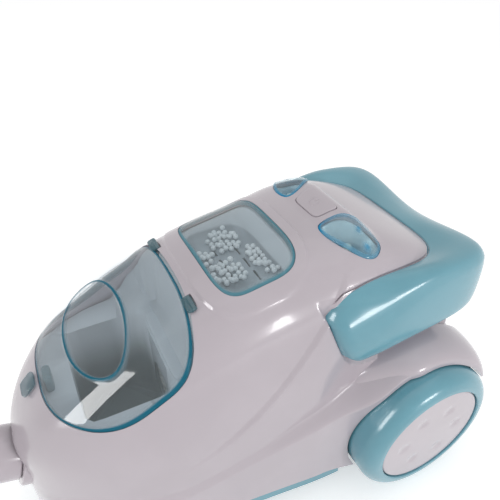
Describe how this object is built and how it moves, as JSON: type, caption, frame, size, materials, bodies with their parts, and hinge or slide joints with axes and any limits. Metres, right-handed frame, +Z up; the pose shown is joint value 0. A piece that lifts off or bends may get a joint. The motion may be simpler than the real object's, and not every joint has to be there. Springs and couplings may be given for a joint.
{
  "type": "toy vacuum cleaner",
  "caption": "Toy canister vacuum cleaner with a hinged clear lid over a dust bin, a bead window, a push button, big rear wheels, a front caster and a swivelling hose socket.",
  "frame": {"origin": "on the floor below the middle of the bounding box", "axes": "+Z up, nose and hose socket towards -Y, +X to the toy's left side"},
  "size_m": [0.201, 0.3377, 0.2003],
  "materials": {
    "pale_gloss": "glossy moulded",
    "turquoise": "semi-gloss moulded",
    "clear_blue": "clear blue-tinted plastic",
    "grey_plastic": "matt moulded",
    "white_plastic": "matt",
    "dark_plastic": "matt moulded",
    "board_green": "solder-masked",
    "silvered": "metallised",
    "steel": "zinc plated",
    "cell_jacket": "plain jacket"
  },
  "bodies": {
    "body": {"upper_shell": "pale_gloss", "base_tray": "turquoise", "rear_bumper": "turquoise", "hinge_pins": "steel", "dust_bin": "grey_plastic", "dust_filter": "white_plastic", "bead_window": "clear_blue", "bead_chamber": "pale_gloss", "foam_beads": "white_plastic", "push_switch": "dark_plastic", "control_board": "board_green", "lamp_lens_left": "clear_blue", "lamp_lens_right": "clear_blue", "lamp_reflector_left": "silvered", "lamp_reflector_right": "silvered", "lamp_leds": "white_plastic", "rear_axle": "steel", "axle_nuts": "steel", "inlet_collar": "pale_gloss", "fan_housing": "grey_plastic", "motor": "steel", "battery_case": "dark_plastic", "battery_cells": "cell_jacket", "battery_contacts": "steel", "battery_cover": "turquoise", "base_screws": "steel", "board_screws": "steel", "cover_screw": "steel", "button_spring": "steel"},
    "lid": {"dust_lid": "clear_blue"},
    "button": {"power_button": "pale_gloss"},
    "left_wheel": {"wheel_left": "turquoise", "hub_cap_left": "pale_gloss"},
    "right_wheel": {"wheel_right": "turquoise", "hub_cap_right": "pale_gloss"},
    "caster": {"caster_fork": "grey_plastic", "caster_pin": "steel", "caster_clip": "steel"},
    "roller": {"caster_wheel": "dark_plastic"},
    "cuff": {"hose_cuff": "pale_gloss"},
    "fan": {"fan_impeller": "white_plastic", "motor_shaft": "steel"}
  },
  "joints": [
    {"name": "lid_hinge", "type": "hinge", "parent": "body", "child": "lid", "pos_m": [0, -0.0238, 0.1768], "axis": [-1, 0, 0], "range_deg": [0, 50]},
    {"name": "button_press", "type": "slide", "parent": "body", "child": "button", "axis": [0, 0, -1], "range_m": [0, 0.0022], "stiffness_N_per_m": 600, "deforming": ["button_spring"]},
    {"name": "left_wheel_spin", "type": "hinge", "parent": "body", "child": "left_wheel", "pos_m": [0.0875, 0.116, 0.053], "axis": [1, 0, 0], "continuous": true},
    {"name": "right_wheel_spin", "type": "hinge", "parent": "body", "child": "right_wheel", "pos_m": [-0.0875, 0.116, 0.053], "axis": [1, 0, 0], "continuous": true},
    {"name": "caster_swivel", "type": "hinge", "parent": "body", "child": "caster", "pos_m": [0, -0.085, 0.03], "axis": [0, 0, 1], "continuous": true},
    {"name": "caster_roll", "type": "hinge", "parent": "caster", "child": "roller", "pos_m": [0, -0.076, 0.011], "axis": [1, 0, 0], "continuous": true},
    {"name": "cuff_swivel", "type": "hinge", "parent": "body", "child": "cuff", "pos_m": [0, -0.134, 0.074], "axis": [0, -0.9455, 0.3256], "continuous": true},
    {"name": "fan_spin", "type": "hinge", "parent": "body", "child": "fan", "pos_m": [0, 0.0155, 0.13], "axis": [0, 0, 1], "continuous": true}
  ]
}
